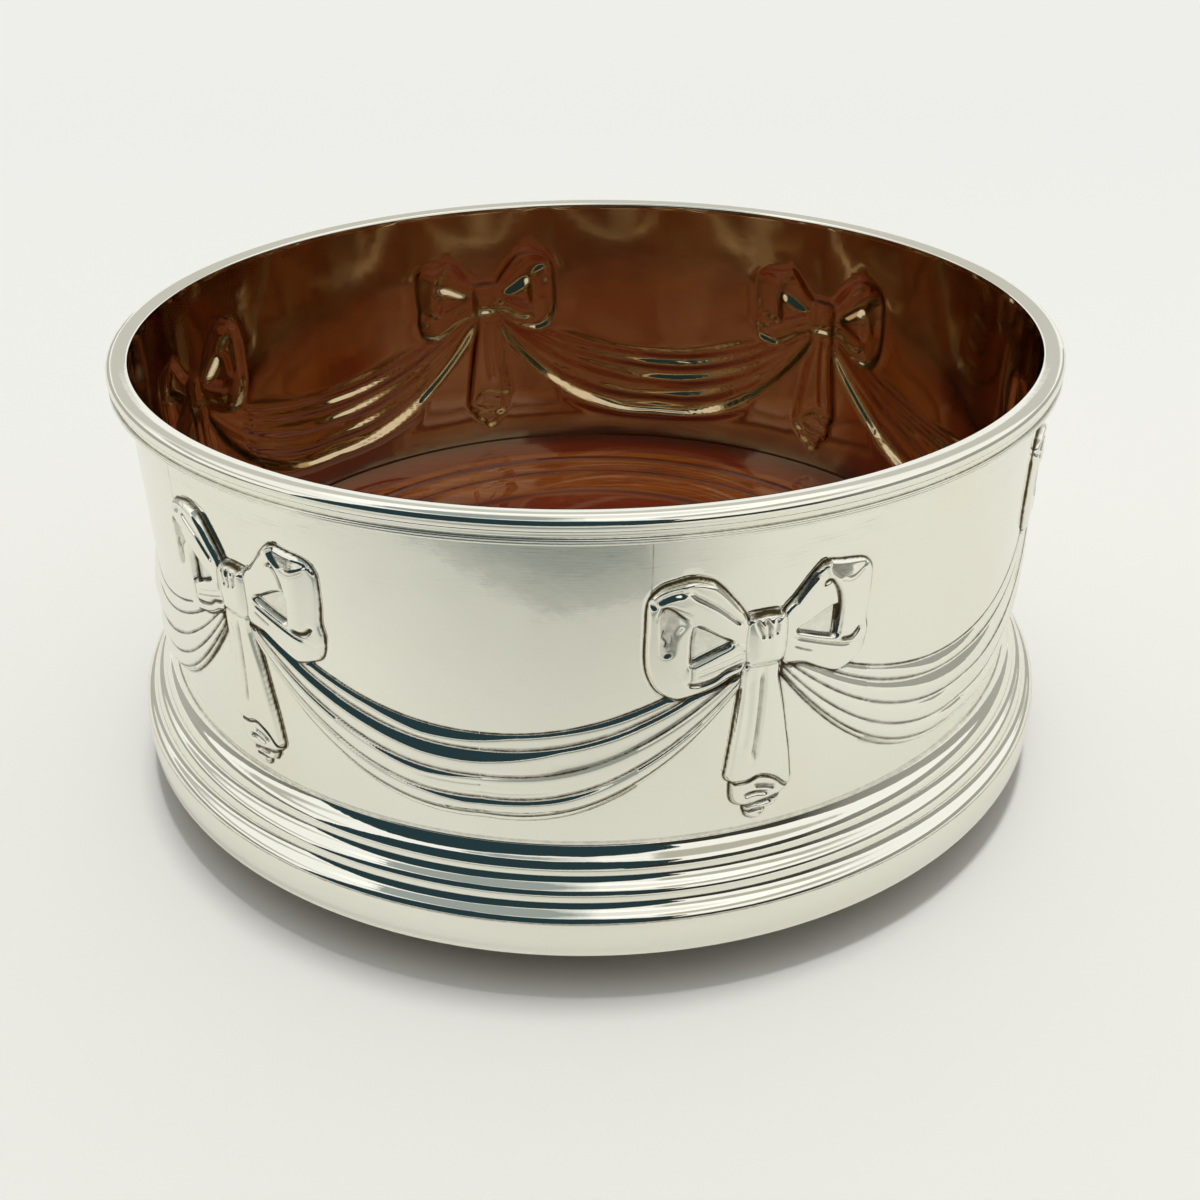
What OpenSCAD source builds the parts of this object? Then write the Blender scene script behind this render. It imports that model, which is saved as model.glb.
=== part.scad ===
// Wine bottle coaster: an embossed silver gallery with a drawn rim and a stepped foot,
// set on a turned wooden base with a baize pad underneath.
// Millimetres, +Z up, origin on the table at the centre of the coaster.

/* [Gallery] */
// Diameter over the plain wall
wall_d = 119.6; // [100:0.2:125]
// Height of the wall that shows between the foot and the rim
wall_h = 38.1; // [36:0.1:60]
// Thickness of the silver sheet
sheet_t = 0.8; // [0.6:0.1:1.2]
// Length of sheet that is hidden behind the foot
sheet_tuck = 4.8; // [4:0.1:6]

/* [Rim] */
// How far the rim stands out from the wall
rim_out = 1.95; // [1.2:0.05:3]
// Height of the rim moulding
rim_h = 3.1; // [2.6:0.1:5]
// Thickness of the rim over the top edge of the sheet
rim_cap = 1.2; // [0.8:0.1:2]
// Radius of the rounded outer corner
rim_round = 1.1; // [0.5:0.05:1.2]
// Radius of the eased inner corner
rim_ease = 0.5; // [0.2:0.05:0.7]
// Height of the thin bead along the lower edge
bead_h = 0.7; // [0.4:0.05:1]

/* [Foot] */
// Sheet thickness of the spun foot
foot_t = 0.6; // [0.4:0.05:0.8]
// Height of the collar that grips the wall
collar_h = 0.5; // [0.3:0.1:1.5]
// How far the upper step runs out
upper_step_out = 1.3; // [1:0.05:1.8]
// Drop of the upper step
upper_step_h = 2.4; // [2:0.05:3.2]
// How far each of the two lower steps runs out
lower_step_out = 1.5; // [1.2:0.05:1.9]
// Drop of each of the two lower steps
lower_step_h = 2.15; // [1.9:0.05:3]
// Height of the plain band under the steps
band_h = 5; // [4:0.1:7]
// How far the band swells beyond its top edge
band_swell = 0.5; // [0.3:0.05:0.8]
// Radius where the band turns under the base
band_round = 0.8; // [0.65:0.05:1.2]
// Width of the lap that is turned in under the wood
lap_w = 5.6; // [5:0.1:6.2]

/* [Bows and swags] */
// Number of bows round the wall
bow_count = 6; // [4:1:6]
// Turn of the first bow from the front
bow_turn = 17.5; // [0:0.5:60]
// Height of the knots above the foot
knot_rise = 25.2; // [24:0.1:27]
// Width over the two loops
bow_w = 25.6; // [20:0.2:30]
// Height over the two loops
bow_h = 14.3; // [11:0.1:17]
// Width of the knot
knot_w = 4.3; // [3:0.1:6]
// Height of the knot
knot_h = 6; // [5:0.1:8]
// Width of the tail at its widest
tail_w = 8; // [6:0.1:10]
// Length of the tail below the knot's centre
tail_l = 24.2; // [20:0.1:24.6]
// Drop of a swag's lower edge below the knots at mid span
swag_drop = 22.2; // [18:0.1:23]
// Depth of a swag's folds at mid span
swag_h = 11.3; // [8:0.1:14]
// Height of the relief above the wall
relief_h = 1.2; // [0.6:0.1:2]

/* [Wooden base] */
// Height of the wood between its underside and its floor
wood_h = 14.8; // [13.6:0.1:17]
// How far the silver foot stays above the underside of the wood
foot_lift = 4.6; // [3.6:0.1:6]
// Radius of the eased lower edge of the wood
wood_round = 1.2; // [0.6:0.1:2]
// Radial play between the wood and the silver
wood_play = 0.2; // [0.1:0.05:0.4]
// Diameter of the turned groove in the floor
groove_d = 96.2; // [80:0.2:104]
// Width of the turned groove
groove_w = 1.8; // [1:0.1:3]
// Diameter of the fine turned line inside the groove
line_d = 85.2; // [74:0.2:92]
// Width of the fine turned line
line_w = 0.8; // [0.4:0.1:1.5]
// Diameter of the dished middle of the floor
dish_d = 69.4; // [50:0.2:72]
// Depth of the dished middle
dish_depth = 0.5; // [0.2:0.1:1.5]

/* [Pins] */
// Number of pins that hold the lap to the wood
pin_count = 6; // [3:1:12]
// Diameter of a pin's shank
pin_d = 1.2; // [0.8:0.1:1.4]
// Length of a pin's shank
pin_l = 3.8; // [3:0.1:4.2]
// Diameter of a pin's head
pin_head_d = 2.2; // [1.8:0.1:2.4]
// Thickness of a pin's head
pin_head_t = 0.45; // [0.3:0.05:0.6]
// Play of a pin in the lap's hole
pin_play = 0.05; // [0.03:0.01:0.1]

/* [Baize pad] */
// Thickness of the pad under the wood
pad_t = 1.2; // [0.8:0.1:2]
// Margin of flat wood that stays bare round the pad
pad_margin = 0.4; // [0.2:0.1:3]

/* [Hidden] */
$fn = 128;

// Radii of the silver
wall_r = wall_d/2;
bore_r = wall_r - sheet_t;
collar_r = wall_r + foot_t;
band_top_r = collar_r + upper_step_out + 2*lower_step_out;
band_r = band_top_r + band_swell;
rim_r = wall_r + rim_out;

// Heights of the silver and the wood
wood_z = pad_t;
lap_z = wood_z + foot_lift;
band_top_z = lap_z + band_h;
foot_top_z = band_top_z + 2*lower_step_h + upper_step_h + collar_h;
sheet_z = foot_top_z - sheet_tuck;
floor_z = wood_z + wood_h;
rim_z = foot_top_z + wall_h;
rim_top_z = rim_z + rim_h;
sheet_top_z = rim_top_z - rim_cap;

// The band of the foot is an arc through its top edge, widest at its middle
band_mid_z = band_top_z - band_h/2;
band_arc_r = (pow(band_h/2, 2) + pow(band_swell, 2))/(2*band_swell);
lap_r = band_r - lap_w - band_round;

// The wood's steps, from below
wood_foot_r = lap_r - wood_play;
flange_r = band_top_r - foot_t - wood_play;
flange_top_z = band_top_z - foot_t;
shoulder_r = collar_r;
plug_r = bore_r - wood_play;

// Pins stand in the middle of the lap
pin_ring_r = (lap_r + flange_r)/2;
// How far the cutting shapes run past what they cut
overrun = sheet_t;

// The cove's share of a step's curve; the nose has the rest
cove_share = 0.55;

// Each fold of a swag lies between two valleys: shares of the swag's depth from its top
fold_shares = [0, 0.18, 0.46, 0.72, 0.92, 1];
// The power of the curve from the knot down to mid span, from the top fold to the last one
sag_powers = [2.1, 2.15, 2.2, 2.25, 2.3, 2.3];
// How high the valleys and the outer edges stand, as shares of the relief
valley_share = 0.45;
edge_share = 0.25;
// How far down the knot the gathered folds spread, as a share of its height
gather_share = 0.35;
// Where the folds have opened, as a share of the half span, and the dome that they start from
open_share = 0.2;
dome_shares = [0.5, 0.4];
// Points of a fold across its ridge, as shares of its width and height
ridge_shares = [[0.22, 0.9], [0.68, 1]];
swag_stations = 12;
// Where a swag starts inside the knot, as a share of half the knot's width
swag_start_share = 0.3;

// A loop's outline and the opening inside it, as shares of the bow's half width and height
loop_outer_shares = [[0.14, 0.18], [0.30, 0.36], [0.46, 0.50], [0.63, 0.55], [0.81, 0.51],
    [0.96, 0.39], [1, 0.14], [1, -0.07], [0.97, -0.28], [0.85, -0.42],
    [0.68, -0.45], [0.46, -0.40], [0.30, -0.32], [0.14, -0.24]];
loop_inner_shares = [[0.30, 0.01], [0.38, 0.05], [0.46, 0.09], [0.53, 0.13], [0.59, 0.16],
    [0.63, 0.13], [0.63, 0.04], [0.63, -0.03], [0.63, -0.09], [0.61, -0.13],
    [0.54, -0.10], [0.46, -0.08], [0.39, -0.04], [0.32, -0.01]];
// Points across the loop's band, as shares of the way inwards and of the relief
band_shares = [[0, 0.1], [0.12, 0.8], [0.45, 1.05], [0.85, 0.85], [1, 0.3]];

// The knot, row by row from its top: shares of half its height, half its width and the relief
knot_shares = [[1, 0.85, 0.7], [0.7, 0.95, 1.3], [0.1, 1.05, 1.5], [-0.5, 1, 1.4], [-1, 0.85, 0.8]];
// Points across the knot, as shares of half its width and of the row's height
puff_shares = [[-1, 0.4], [-0.6, 0.92], [0, 1], [0.6, 0.92], [1, 0.4]];

// The tail, row by row: share of its length, left and right edges as shares of half its width,
// and height as a share of the relief
tail_shares = [[0.06, -0.45, 0.45, 0.7], [0.3, -0.68, 0.68, 0.9], [0.5, -0.82, 0.84, 0.95],
    [0.68, -0.92, 0.97, 1], [0.76, -0.94, 1.04, 1.05], [0.82, -0.7, 0.9, 0.5]];
// The frills under the tail's hem: share of its length, left and right ends as shares of half its width,
// and half its height as a share of the relief
frill_shares = [[0.83, -0.52, 0.8, 1], [0.9, -0.32, 0.46, 0.85], [0.966, -0.02, 0.12, 0.7]];
// Radius of a frill's edge and how far its middle stands out of the wall's face, as shares of the sheet
frill_edge_share = 0.75;
frill_rise_share = 0.36;
// Points across the tail, as shares of the way from its left edge and of the row's height
pleat_shares = [[0, 0.2], [0.14, 0.95], [0.34, 1], [0.46, 0.6], [0.58, 1], [0.86, 0.9], [1, 0.2]];

// Depth of the back of each kind of relief inside the sheet, as shares of its thickness
swag_root_share = 0.35;
loop_root_share = 0.45;
tail_root_share = 0.55;
knot_root_share = 0.65;

knot_z = foot_top_z + knot_rise;
bow_pitch = 360/bow_count;
span = wall_r*bow_pitch*PI/180;

function reversed(list) = [for (i = [len(list) - 1:-1:0]) list[i]];

// A point given along the wall, up it and out from it
function on_wall(p) =
    let (a = p[0]/wall_r*180/PI)
    [(wall_r + p[2])*sin(a), -(wall_r + p[2])*cos(a), p[1]];

// Points of an arc about a centre, from one angle to another
function arc(c, r, a0, a1, n = 6) = [for (i = [0:n]) let (a = a0 + (a1 - a0)*i/n) c + r*[cos(a), sin(a)]];

// A step of the foot seen in section: a cove and then a nose that turns back upright.
// It runs down and out from p, w wide and h high; in is how far the line lies inside the outer face.
function step_line(p, w, h, in) =
    let (turn = 2*atan(w/h), r = h/sin(turn), cove_r = cove_share*r, nose_r = r - cove_r,
        cove_c = p + [cove_r, 0], nose_c = p + [w - nose_r, -h])
    concat(arc(cove_c, cove_r + in, 180, 180 + turn), arc(nose_c, nose_r - in, turn, 0));
// The three steps, from the collar down to the band
function steps_line(in) =
    let (p = [collar_r, foot_top_z - collar_h], q = p + [upper_step_out, -upper_step_h],
        s = q + [lower_step_out, -lower_step_h])
    concat(step_line(p, upper_step_out, upper_step_h, in), step_line(q, lower_step_out, lower_step_h, in),
        step_line(s, lower_step_out, lower_step_h, in));

// Turns a list of closed rings of points into a solid; a loop's last ring joins its first.
// Seen from outside the wall, the points of a ring run clockwise round the way from ring to ring.
module relief(rings, looped = false) {
    n = len(rings[0]);
    m = len(rings);
    sides = [for (i = [0:looped ? m - 1 : m - 2], j = [0:n - 1])
        let (a = i*n + j, b = i*n + (j + 1)%n, c = ((i + 1)%m)*n + (j + 1)%n, d = ((i + 1)%m)*n + j)
        each [[a, c, b], [a, d, c]]];
    last = (m - 1)*n;
    ends = looped ? [] : [for (j = [1:n - 2]) each [[0, j, j + 1], [last, last + j + 1, last + j]]];
    polyhedron([for (ring = rings) each [for (p = ring) on_wall(p)]], concat(sides, ends));
}

// Height of valley k where t runs from 0 at mid span to 1 at a knot
function valley_z(k, t) = knot_z - (swag_drop - swag_h*(1 - fold_shares[k]))*(1 - pow(t, sag_powers[k]))
    - gather_share*knot_h*fold_shares[k]*t;

// The points across a swag at distance u from its first knot
function swag_ring(u) =
    let (t = abs(2*u/span - 1), open = min(1, (1 - t)/open_share), folds = len(fold_shares) - 1,
        across = [for (k = [0:folds - 1]) each concat(
            [[valley_z(k, t), k == 0 ? edge_share : valley_share]],
            [for (s = ridge_shares) [valley_z(k, t)*(1 - s[0]) + valley_z(k + 1, t)*s[0], s[1]]])],
        top = concat(across, [[valley_z(folds, t), edge_share]]), last = len(top) - 1)
    concat([for (i = [0:last])
            let (dome = dome_shares[0] + dome_shares[1]*sin(180*i/last))
            [u, top[i][0], relief_h*(open*top[i][1] + (1 - open)*dome)]],
        [[u, top[last][0], -swag_root_share*sheet_t], [u, top[0][0], -swag_root_share*sheet_t]]);

module swag() {
    u0 = swag_start_share*knot_w/2;
    relief([for (i = [0:swag_stations]) swag_ring(u0 + (span - 2*u0)*i/swag_stations)]);
}

module loop(side) {
    half_w = bow_w/2;
    root = -loop_root_share*sheet_t;
    rings = [for (i = [0:len(loop_outer_shares) - 1])
        let (o = loop_outer_shares[i], q = loop_inner_shares[i],
            place = function (s, h) let (p = o + (q - o)*s) [side*half_w*p[0], knot_z + bow_h*p[1], h])
        concat([for (b = band_shares) place(b[0], relief_h*b[1])], [place(1, root), place(0, root)])];
    relief(side < 0 ? reversed(rings) : rings, looped = true);
}

module knot() {
    root = -knot_root_share*sheet_t;
    relief([for (row = reversed(knot_shares))
        let (z = knot_z + row[0]*knot_h/2, w = row[1]*knot_w/2)
        concat([for (s = puff_shares) [s[0]*w, z, relief_h*row[2]*s[1]]], [[w, z, root], [-w, z, root]])]);
}

module tail() {
    root = -tail_root_share*sheet_t;
    relief([for (row = reversed(tail_shares))
        let (z = knot_z - row[0]*tail_l, x0 = row[1]*tail_w/2, x1 = row[2]*tail_w/2)
        concat([for (s = pleat_shares) [x0 + (x1 - x0)*s[0], z, relief_h*row[3]*s[1]]],
            [[x1, z, root], [x0, z, root]])]);
}

// A frill is a rounded pad that is rooted in the sheet and stays inside its inner face
module frills() {
    ball_r = frill_edge_share*sheet_t;
    for (row = frill_shares) let (z = knot_z - row[0]*tail_l, rise = row[3]*relief_h - ball_r)
        hull() for (end = [row[1], row[2]], side = [-1, 1])
            translate(on_wall([end*tail_w/2, z + side*rise, frill_rise_share*sheet_t]))
                sphere(ball_r, $fn = 10);
}

module gallery() {
    color("silver") {
        rotate_extrude($fn = 96) translate([bore_r, sheet_z]) square([sheet_t, sheet_top_z - sheet_z]);
        for (i = [0:bow_count - 1]) rotate(bow_turn + i*bow_pitch) {
            swag();
            loop(-1);
            loop(1);
            tail();
            frills();
            knot();
        }
    }
}

// The rim is drawn wire, rebated to cap the sheet's top edge
module rim_moulding() {
    bead_r = bead_h/2;
    color("gainsboro") rotate_extrude() difference() {
        union() {
            polygon(concat([[bore_r, rim_z], [rim_r - bead_r, rim_z], [rim_r - bead_r, rim_z + bead_h]],
                arc([rim_r - rim_round, rim_top_z - rim_round], rim_round, 0, 90),
                arc([bore_r + rim_ease, rim_top_z - rim_ease], rim_ease, 90, 180)));
            translate([rim_r - bead_r, rim_z + bead_r]) circle(bead_r);
        }
        translate([bore_r - overrun, rim_z - overrun])
            square([sheet_t + overrun, sheet_top_z - rim_z + overrun]);
    }
}

// The foot is spun from sheet: a collar, three steps, a plain band and a lap turned in under the wood
module reeded_foot() {
    band_c = [band_r - band_arc_r, band_mid_z];
    swell_a = asin(band_h/2/band_arc_r);
    turn_c = [band_r - band_round, lap_z + band_round];
    low_a = asin((turn_c[1] - band_mid_z)/band_arc_r);
    color("gainsboro") difference() {
        rotate_extrude() polygon(concat(
            [[wall_r, foot_top_z], [collar_r, foot_top_z]], steps_line(0),
            arc(band_c, band_arc_r, swell_a, low_a), arc(turn_c, band_round, 0, -90),
            [[lap_r, lap_z], [lap_r, lap_z + foot_t]],
            arc(turn_c, band_round - foot_t, -90, 0), arc(band_c, band_arc_r - foot_t, low_a, swell_a),
            reversed(steps_line(foot_t))));
        pin_places() translate([0, 0, lap_z - overrun])
            cylinder(d = pin_d + 2*pin_play, h = foot_t + 2*overrun);
    }
}

module pin_places() {
    for (i = [0:pin_count - 1]) rotate(bow_turn + bow_pitch/2 + i*360/pin_count)
        translate([0, -pin_ring_r, 0]) children();
}

module wood_base() {
    color("saddlebrown") difference() {
        rotate_extrude() polygon(concat(
            [[0, wood_z]], arc([wood_foot_r - wood_round, wood_z + wood_round], wood_round, -90, 0),
            [[wood_foot_r, lap_z + foot_t], [flange_r, lap_z + foot_t], [flange_r, flange_top_z],
            [shoulder_r, flange_top_z], [shoulder_r, sheet_z], [plug_r, sheet_z], [plug_r, floor_z],
            [dish_d/2 + dish_depth, floor_z], [dish_d/2 - dish_depth, floor_z - dish_depth],
            [0, floor_z - dish_depth]]));
        rotate_extrude() translate([groove_d/2, floor_z]) circle(d = groove_w);
        rotate_extrude() translate([line_d/2, floor_z]) circle(d = line_w);
        pin_places() translate([0, 0, lap_z]) cylinder(d = pin_d, h = pin_l);
    }
}

module base_pins() {
    color("goldenrod") pin_places() {
        translate([0, 0, lap_z]) cylinder(d = pin_d, h = pin_l);
        translate([0, 0, lap_z - pin_head_t]) cylinder(d = pin_head_d, h = pin_head_t);
    }
}

module baize_pad() {
    color("darkgreen") cylinder(r = wood_foot_r - wood_round - pad_margin, h = pad_t);
}

gallery();
rim_moulding();
reeded_foot();
wood_base();
base_pins();
baize_pad();
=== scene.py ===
import math

import bmesh
import bpy
import numpy as np
from mathutils import Matrix, Vector


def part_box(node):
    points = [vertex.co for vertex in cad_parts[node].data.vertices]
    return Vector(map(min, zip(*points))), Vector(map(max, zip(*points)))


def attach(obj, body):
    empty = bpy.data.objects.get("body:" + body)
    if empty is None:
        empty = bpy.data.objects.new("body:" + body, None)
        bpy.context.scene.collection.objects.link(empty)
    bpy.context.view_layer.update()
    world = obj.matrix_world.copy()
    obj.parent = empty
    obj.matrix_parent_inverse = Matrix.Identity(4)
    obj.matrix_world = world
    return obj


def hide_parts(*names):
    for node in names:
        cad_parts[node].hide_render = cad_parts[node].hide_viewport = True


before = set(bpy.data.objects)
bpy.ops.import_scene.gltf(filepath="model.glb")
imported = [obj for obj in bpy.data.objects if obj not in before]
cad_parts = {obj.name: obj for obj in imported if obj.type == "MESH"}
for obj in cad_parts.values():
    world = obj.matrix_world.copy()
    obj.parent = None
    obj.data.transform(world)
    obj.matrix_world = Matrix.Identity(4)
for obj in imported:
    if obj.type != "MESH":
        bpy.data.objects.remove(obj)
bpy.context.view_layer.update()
mm = 0.001
print("frame loaded")

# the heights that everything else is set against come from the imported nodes
footLow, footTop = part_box("reeded_foot")[0].z / mm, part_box("reeded_foot")[1].z / mm
rimLow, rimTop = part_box("rim_moulding")[0].z / mm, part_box("rim_moulding")[1].z / mm
sheetLow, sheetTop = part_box("gallery")[0].z / mm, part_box("gallery")[1].z / mm
woodLow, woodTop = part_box("wood_base")[0].z / mm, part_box("wood_base")[1].z / mm
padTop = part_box("baize_pad")[1].z / mm

# camera
cameraSet = {"place": (0.0, -0.17298, 0.11546), "lens": 39.71, "yaw": 0.51, "pitch": 30.37, "roll": -0.49}

yaw, pitch, roll = (math.radians(cameraSet[k]) for k in ("yaw", "pitch", "roll"))
ahead = Vector((math.sin(yaw) * math.cos(pitch), math.cos(yaw) * math.cos(pitch), -math.sin(pitch)))
level = Vector((math.cos(yaw), -math.sin(yaw), 0))
upright = level.cross(ahead)
across = level * math.cos(roll) + upright * math.sin(roll)
upwards = upright * math.cos(roll) - level * math.sin(roll)
cameraData = bpy.data.cameras.new("camera")
cameraData.lens = cameraSet["lens"]
cameraData.sensor_width = 36
cameraData.clip_start = 0.01
camera = bpy.data.objects.new("camera", cameraData)
camera.matrix_world = Matrix.Translation(cameraSet["place"]) @ Matrix((across, upwards, -ahead)).transposed().to_4x4()
bpy.context.scene.collection.objects.link(camera)
bpy.context.scene.camera = camera
bpy.context.scene.view_settings.view_transform = "Standard"
print("camera placed")


# small helpers for nodes and meshes

def addNode(tree, kind, inputs=None, **settings):
    made = tree.nodes.new(kind)
    for key, value in settings.items():
        setattr(made, key, value)
    for key, value in (inputs or {}).items():
        made.inputs[key].default_value = value
    return made


def newFinish(name):
    finish = bpy.data.materials.new(name)
    finish.use_nodes = True
    return finish, finish.node_tree, finish.node_tree.nodes["Principled BSDF"]


def mixColours(tree, share, first, second, kind="MIX"):
    mix = addNode(tree, "ShaderNodeMix", data_type="RGBA", blend_type=kind)
    for socket, value in ((mix.inputs[0], share), (mix.inputs[6], first), (mix.inputs[7], second)):
        if isinstance(value, bpy.types.NodeSocket):
            tree.links.new(value, socket)
        else:
            socket.default_value = value if isinstance(value, (int, float)) else (*value, 1)
    return mix.outputs[2]


def doMath(tree, operation, *values):
    made = addNode(tree, "ShaderNodeMath", operation=operation)
    for socket, value in zip(made.inputs, values):
        if isinstance(value, bpy.types.NodeSocket):
            tree.links.new(value, socket)
        else:
            socket.default_value = value
    return made.outputs[0]


def stretchRange(tree, value, low, high, toLow=0.0, toHigh=1.0):
    made = addNode(tree, "ShaderNodeMapRange", {1: low, 2: high, 3: toLow, 4: toHigh})
    tree.links.new(value, made.inputs[0])
    return made.outputs[0]


def noiseOn(tree, vector, scale, detail=2.0, roughness=0.5, stretch=None):
    if stretch:
        mapping = addNode(tree, "ShaderNodeMapping", {"Scale": stretch})
        tree.links.new(vector, mapping.inputs["Vector"])
        vector = mapping.outputs[0]
    made = addNode(tree, "ShaderNodeTexNoise", {"Scale": scale, "Detail": detail, "Roughness": roughness})
    tree.links.new(vector, made.inputs["Vector"])
    return made.outputs["Fac"]


def addBump(tree, shader, height, distance, strength=1.0, before=None):
    bump = addNode(tree, "ShaderNodeBump", {"Distance": distance, "Strength": strength})
    tree.links.new(height, bump.inputs["Height"])
    if before is not None:
        tree.links.new(before, bump.inputs["Normal"])
    tree.links.new(bump.outputs[0], shader.inputs["Normal"])
    return bump.outputs[0]


def keepPiece(name, bm, finish, sharp=40):
    mesh = bpy.data.meshes.new(name)
    bm.to_mesh(mesh)
    bm.free()
    mesh.shade_smooth()
    mesh.set_sharp_from_angle(angle=math.radians(sharp))
    piece = bpy.data.objects.new(name, mesh)
    bpy.context.scene.collection.objects.link(piece)
    mesh.materials.append(finish)
    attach(piece, "root")
    return piece


def turnProfile(profile, steps, closed=True):
    # a section given as (radius, height) in mm, turned once round the upright axis
    bm = bmesh.new()
    verts = [bm.verts.new((0, -r * mm, z * mm)) for r, z in profile]
    edges = [bm.edges.new(pair) for pair in zip(verts, verts[1:])]
    if closed:
        edges.append(bm.edges.new((verts[-1], verts[0])))
    bmesh.ops.spin(bm, geom=verts + edges, axis=(0, 0, 1), cent=(0, 0, 0), dvec=(0, 0, 0),
                   angle=2 * math.pi, steps=steps, use_merge=True)
    bmesh.ops.remove_doubles(bm, verts=bm.verts, dist=1e-7)
    bmesh.ops.recalc_face_normals(bm, faces=bm.faces)
    return bm


def arcPoints(centre, radius, start, end, count=8):
    angles = [math.radians(start + (end - start) * i / count) for i in range(count + 1)]
    return [(centre[0] + radius * math.cos(a), centre[1] + radius * math.sin(a)) for a in angles]


def keepTarnish(piece, amounts):
    layer = piece.data.attributes.new("tarnish", "FLOAT", "POINT")
    layer.data.foreach_set("value", np.asarray(amounts, np.float32))


# silver: a bright polished metal with wavy reflections, fine polishing lines and tarnish in the hollows
# inside: the inner face's colour, darker and browner: partly tarnish, partly a painted reflection of the mahogany and
# painted shade inside the gallery
silverSet = {"colour": (0.905, 0.902, 0.825), "warm": (0.89, 0.872, 0.775), "tarnish": (0.085, 0.062, 0.026),
             "inside": (0.61, 0.47, 0.29), "roughness": 0.045, "wave": 0.00007, "ripple": 0.000012}


def silverFinish(name, linesAlong, lineBump):
    finish, tree, shader = newFinish(name)
    place = addNode(tree, "ShaderNodeTexCoord").outputs["Object"]
    tarnish = addNode(tree, "ShaderNodeAttribute", attribute_name="tarnish").outputs["Fac"]
    fleck = noiseOn(tree, place, 1500, 4, 0.65)
    blotch = noiseOn(tree, place, 260, 3, 0.6)
    broken = doMath(tree, "ADD", doMath(tree, "MULTIPLY", fleck, 0.9), doMath(tree, "MULTIPLY", blotch, 0.7))
    amount = stretchRange(tree, doMath(tree, "MULTIPLY", tarnish, broken), 0.12, 0.62)
    cloud = stretchRange(tree, noiseOn(tree, place, 38, 3, 0.55), 0.42, 0.75)
    clean = mixColours(tree, cloud, silverSet["colour"], silverSet["warm"])
    if linesAlong == "uv":
        along = addNode(tree, "ShaderNodeUVMap", uv_map="UVMap").outputs[0]
        lines = noiseOn(tree, along, 1.0, 4, 0.6, stretch=(14, 1150, 1))
        height = addNode(tree, "ShaderNodeSeparateXYZ")
        tree.links.new(along, height.inputs[0])
        zone = stretchRange(tree, height.outputs[1], 0.395, 0.455)
        zone = doMath(tree, "MULTIPLY", zone, stretchRange(tree, noiseOn(tree, along, 1.0, 2, 0.5, stretch=(3, 30, 1)),
                                                           0.42, 0.62))
        streak = doMath(tree, "MULTIPLY", stretchRange(tree, lines, 0.52, 0.70), zone)
        clean = mixColours(tree, doMath(tree, "MULTIPLY", streak, 0.55), clean, (0.36, 0.34, 0.29))
        # painted reflection and shade: the inner face takes the darker, browner inside colour over its real tarnish
        inner = doMath(tree, "GREATER_THAN", height.outputs[1], 0.55)
        clean = mixColours(tree, inner, clean, silverSet["inside"])
    else:
        parts = addNode(tree, "ShaderNodeSeparateXYZ")
        tree.links.new(place, parts.inputs[0])
        out = doMath(tree, "SQRT", doMath(tree, "ADD", doMath(tree, "MULTIPLY", parts.outputs[0], parts.outputs[0]),
                                          doMath(tree, "MULTIPLY", parts.outputs[1], parts.outputs[1])))
        turned = addNode(tree, "ShaderNodeCombineXYZ")
        tree.links.new(out, turned.inputs[0])
        tree.links.new(parts.outputs[2], turned.inputs[2])
        lines = noiseOn(tree, turned.outputs[0], 5200, 3, 0.6)
    tint = mixColours(tree, amount, clean, silverSet["tarnish"])
    tree.links.new(tint, shader.inputs["Base Color"])
    shader.inputs["Metallic"].default_value = 1
    rough = doMath(tree, "ADD", silverSet["roughness"], doMath(tree, "MULTIPLY", amount, 0.36))
    rough = doMath(tree, "ADD", rough, doMath(tree, "MULTIPLY", stretchRange(tree, lines, 0.5, 0.8), 0.03))
    swell = noiseOn(tree, place, 70, 1, 0.4)
    if linesAlong == "uv":
        rough = doMath(tree, "ADD", rough, doMath(tree, "MULTIPLY", inner, 0.045))
        swell = doMath(tree, "MULTIPLY", swell, doMath(tree, "ADD", doMath(tree, "MULTIPLY", inner, 3.0), 1.0))
    tree.links.new(rough, shader.inputs["Roughness"])
    wave = addBump(tree, shader, swell, silverSet["wave"])
    ripple = addBump(tree, shader, noiseOn(tree, place, 420, 2, 0.5), silverSet["ripple"], before=wave)
    addBump(tree, shader, lines, lineBump, before=ripple)
    return finish


gallerySilver = silverFinish("embossedSilver", "uv", 0.0000015)
rimSilver = silverFinish("drawnRimSilver", "turned", 0.0000012)
footSilver = silverFinish("spunFootSilver", "turned", 0.0000012)
print("silver finishes made")


# drawn rim moulding over the top edge of the gallery
rimSet = {"bore": 59.0, "wall": 59.8, "out": 61.75, "roll": 1.12, "steps": 320}


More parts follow.
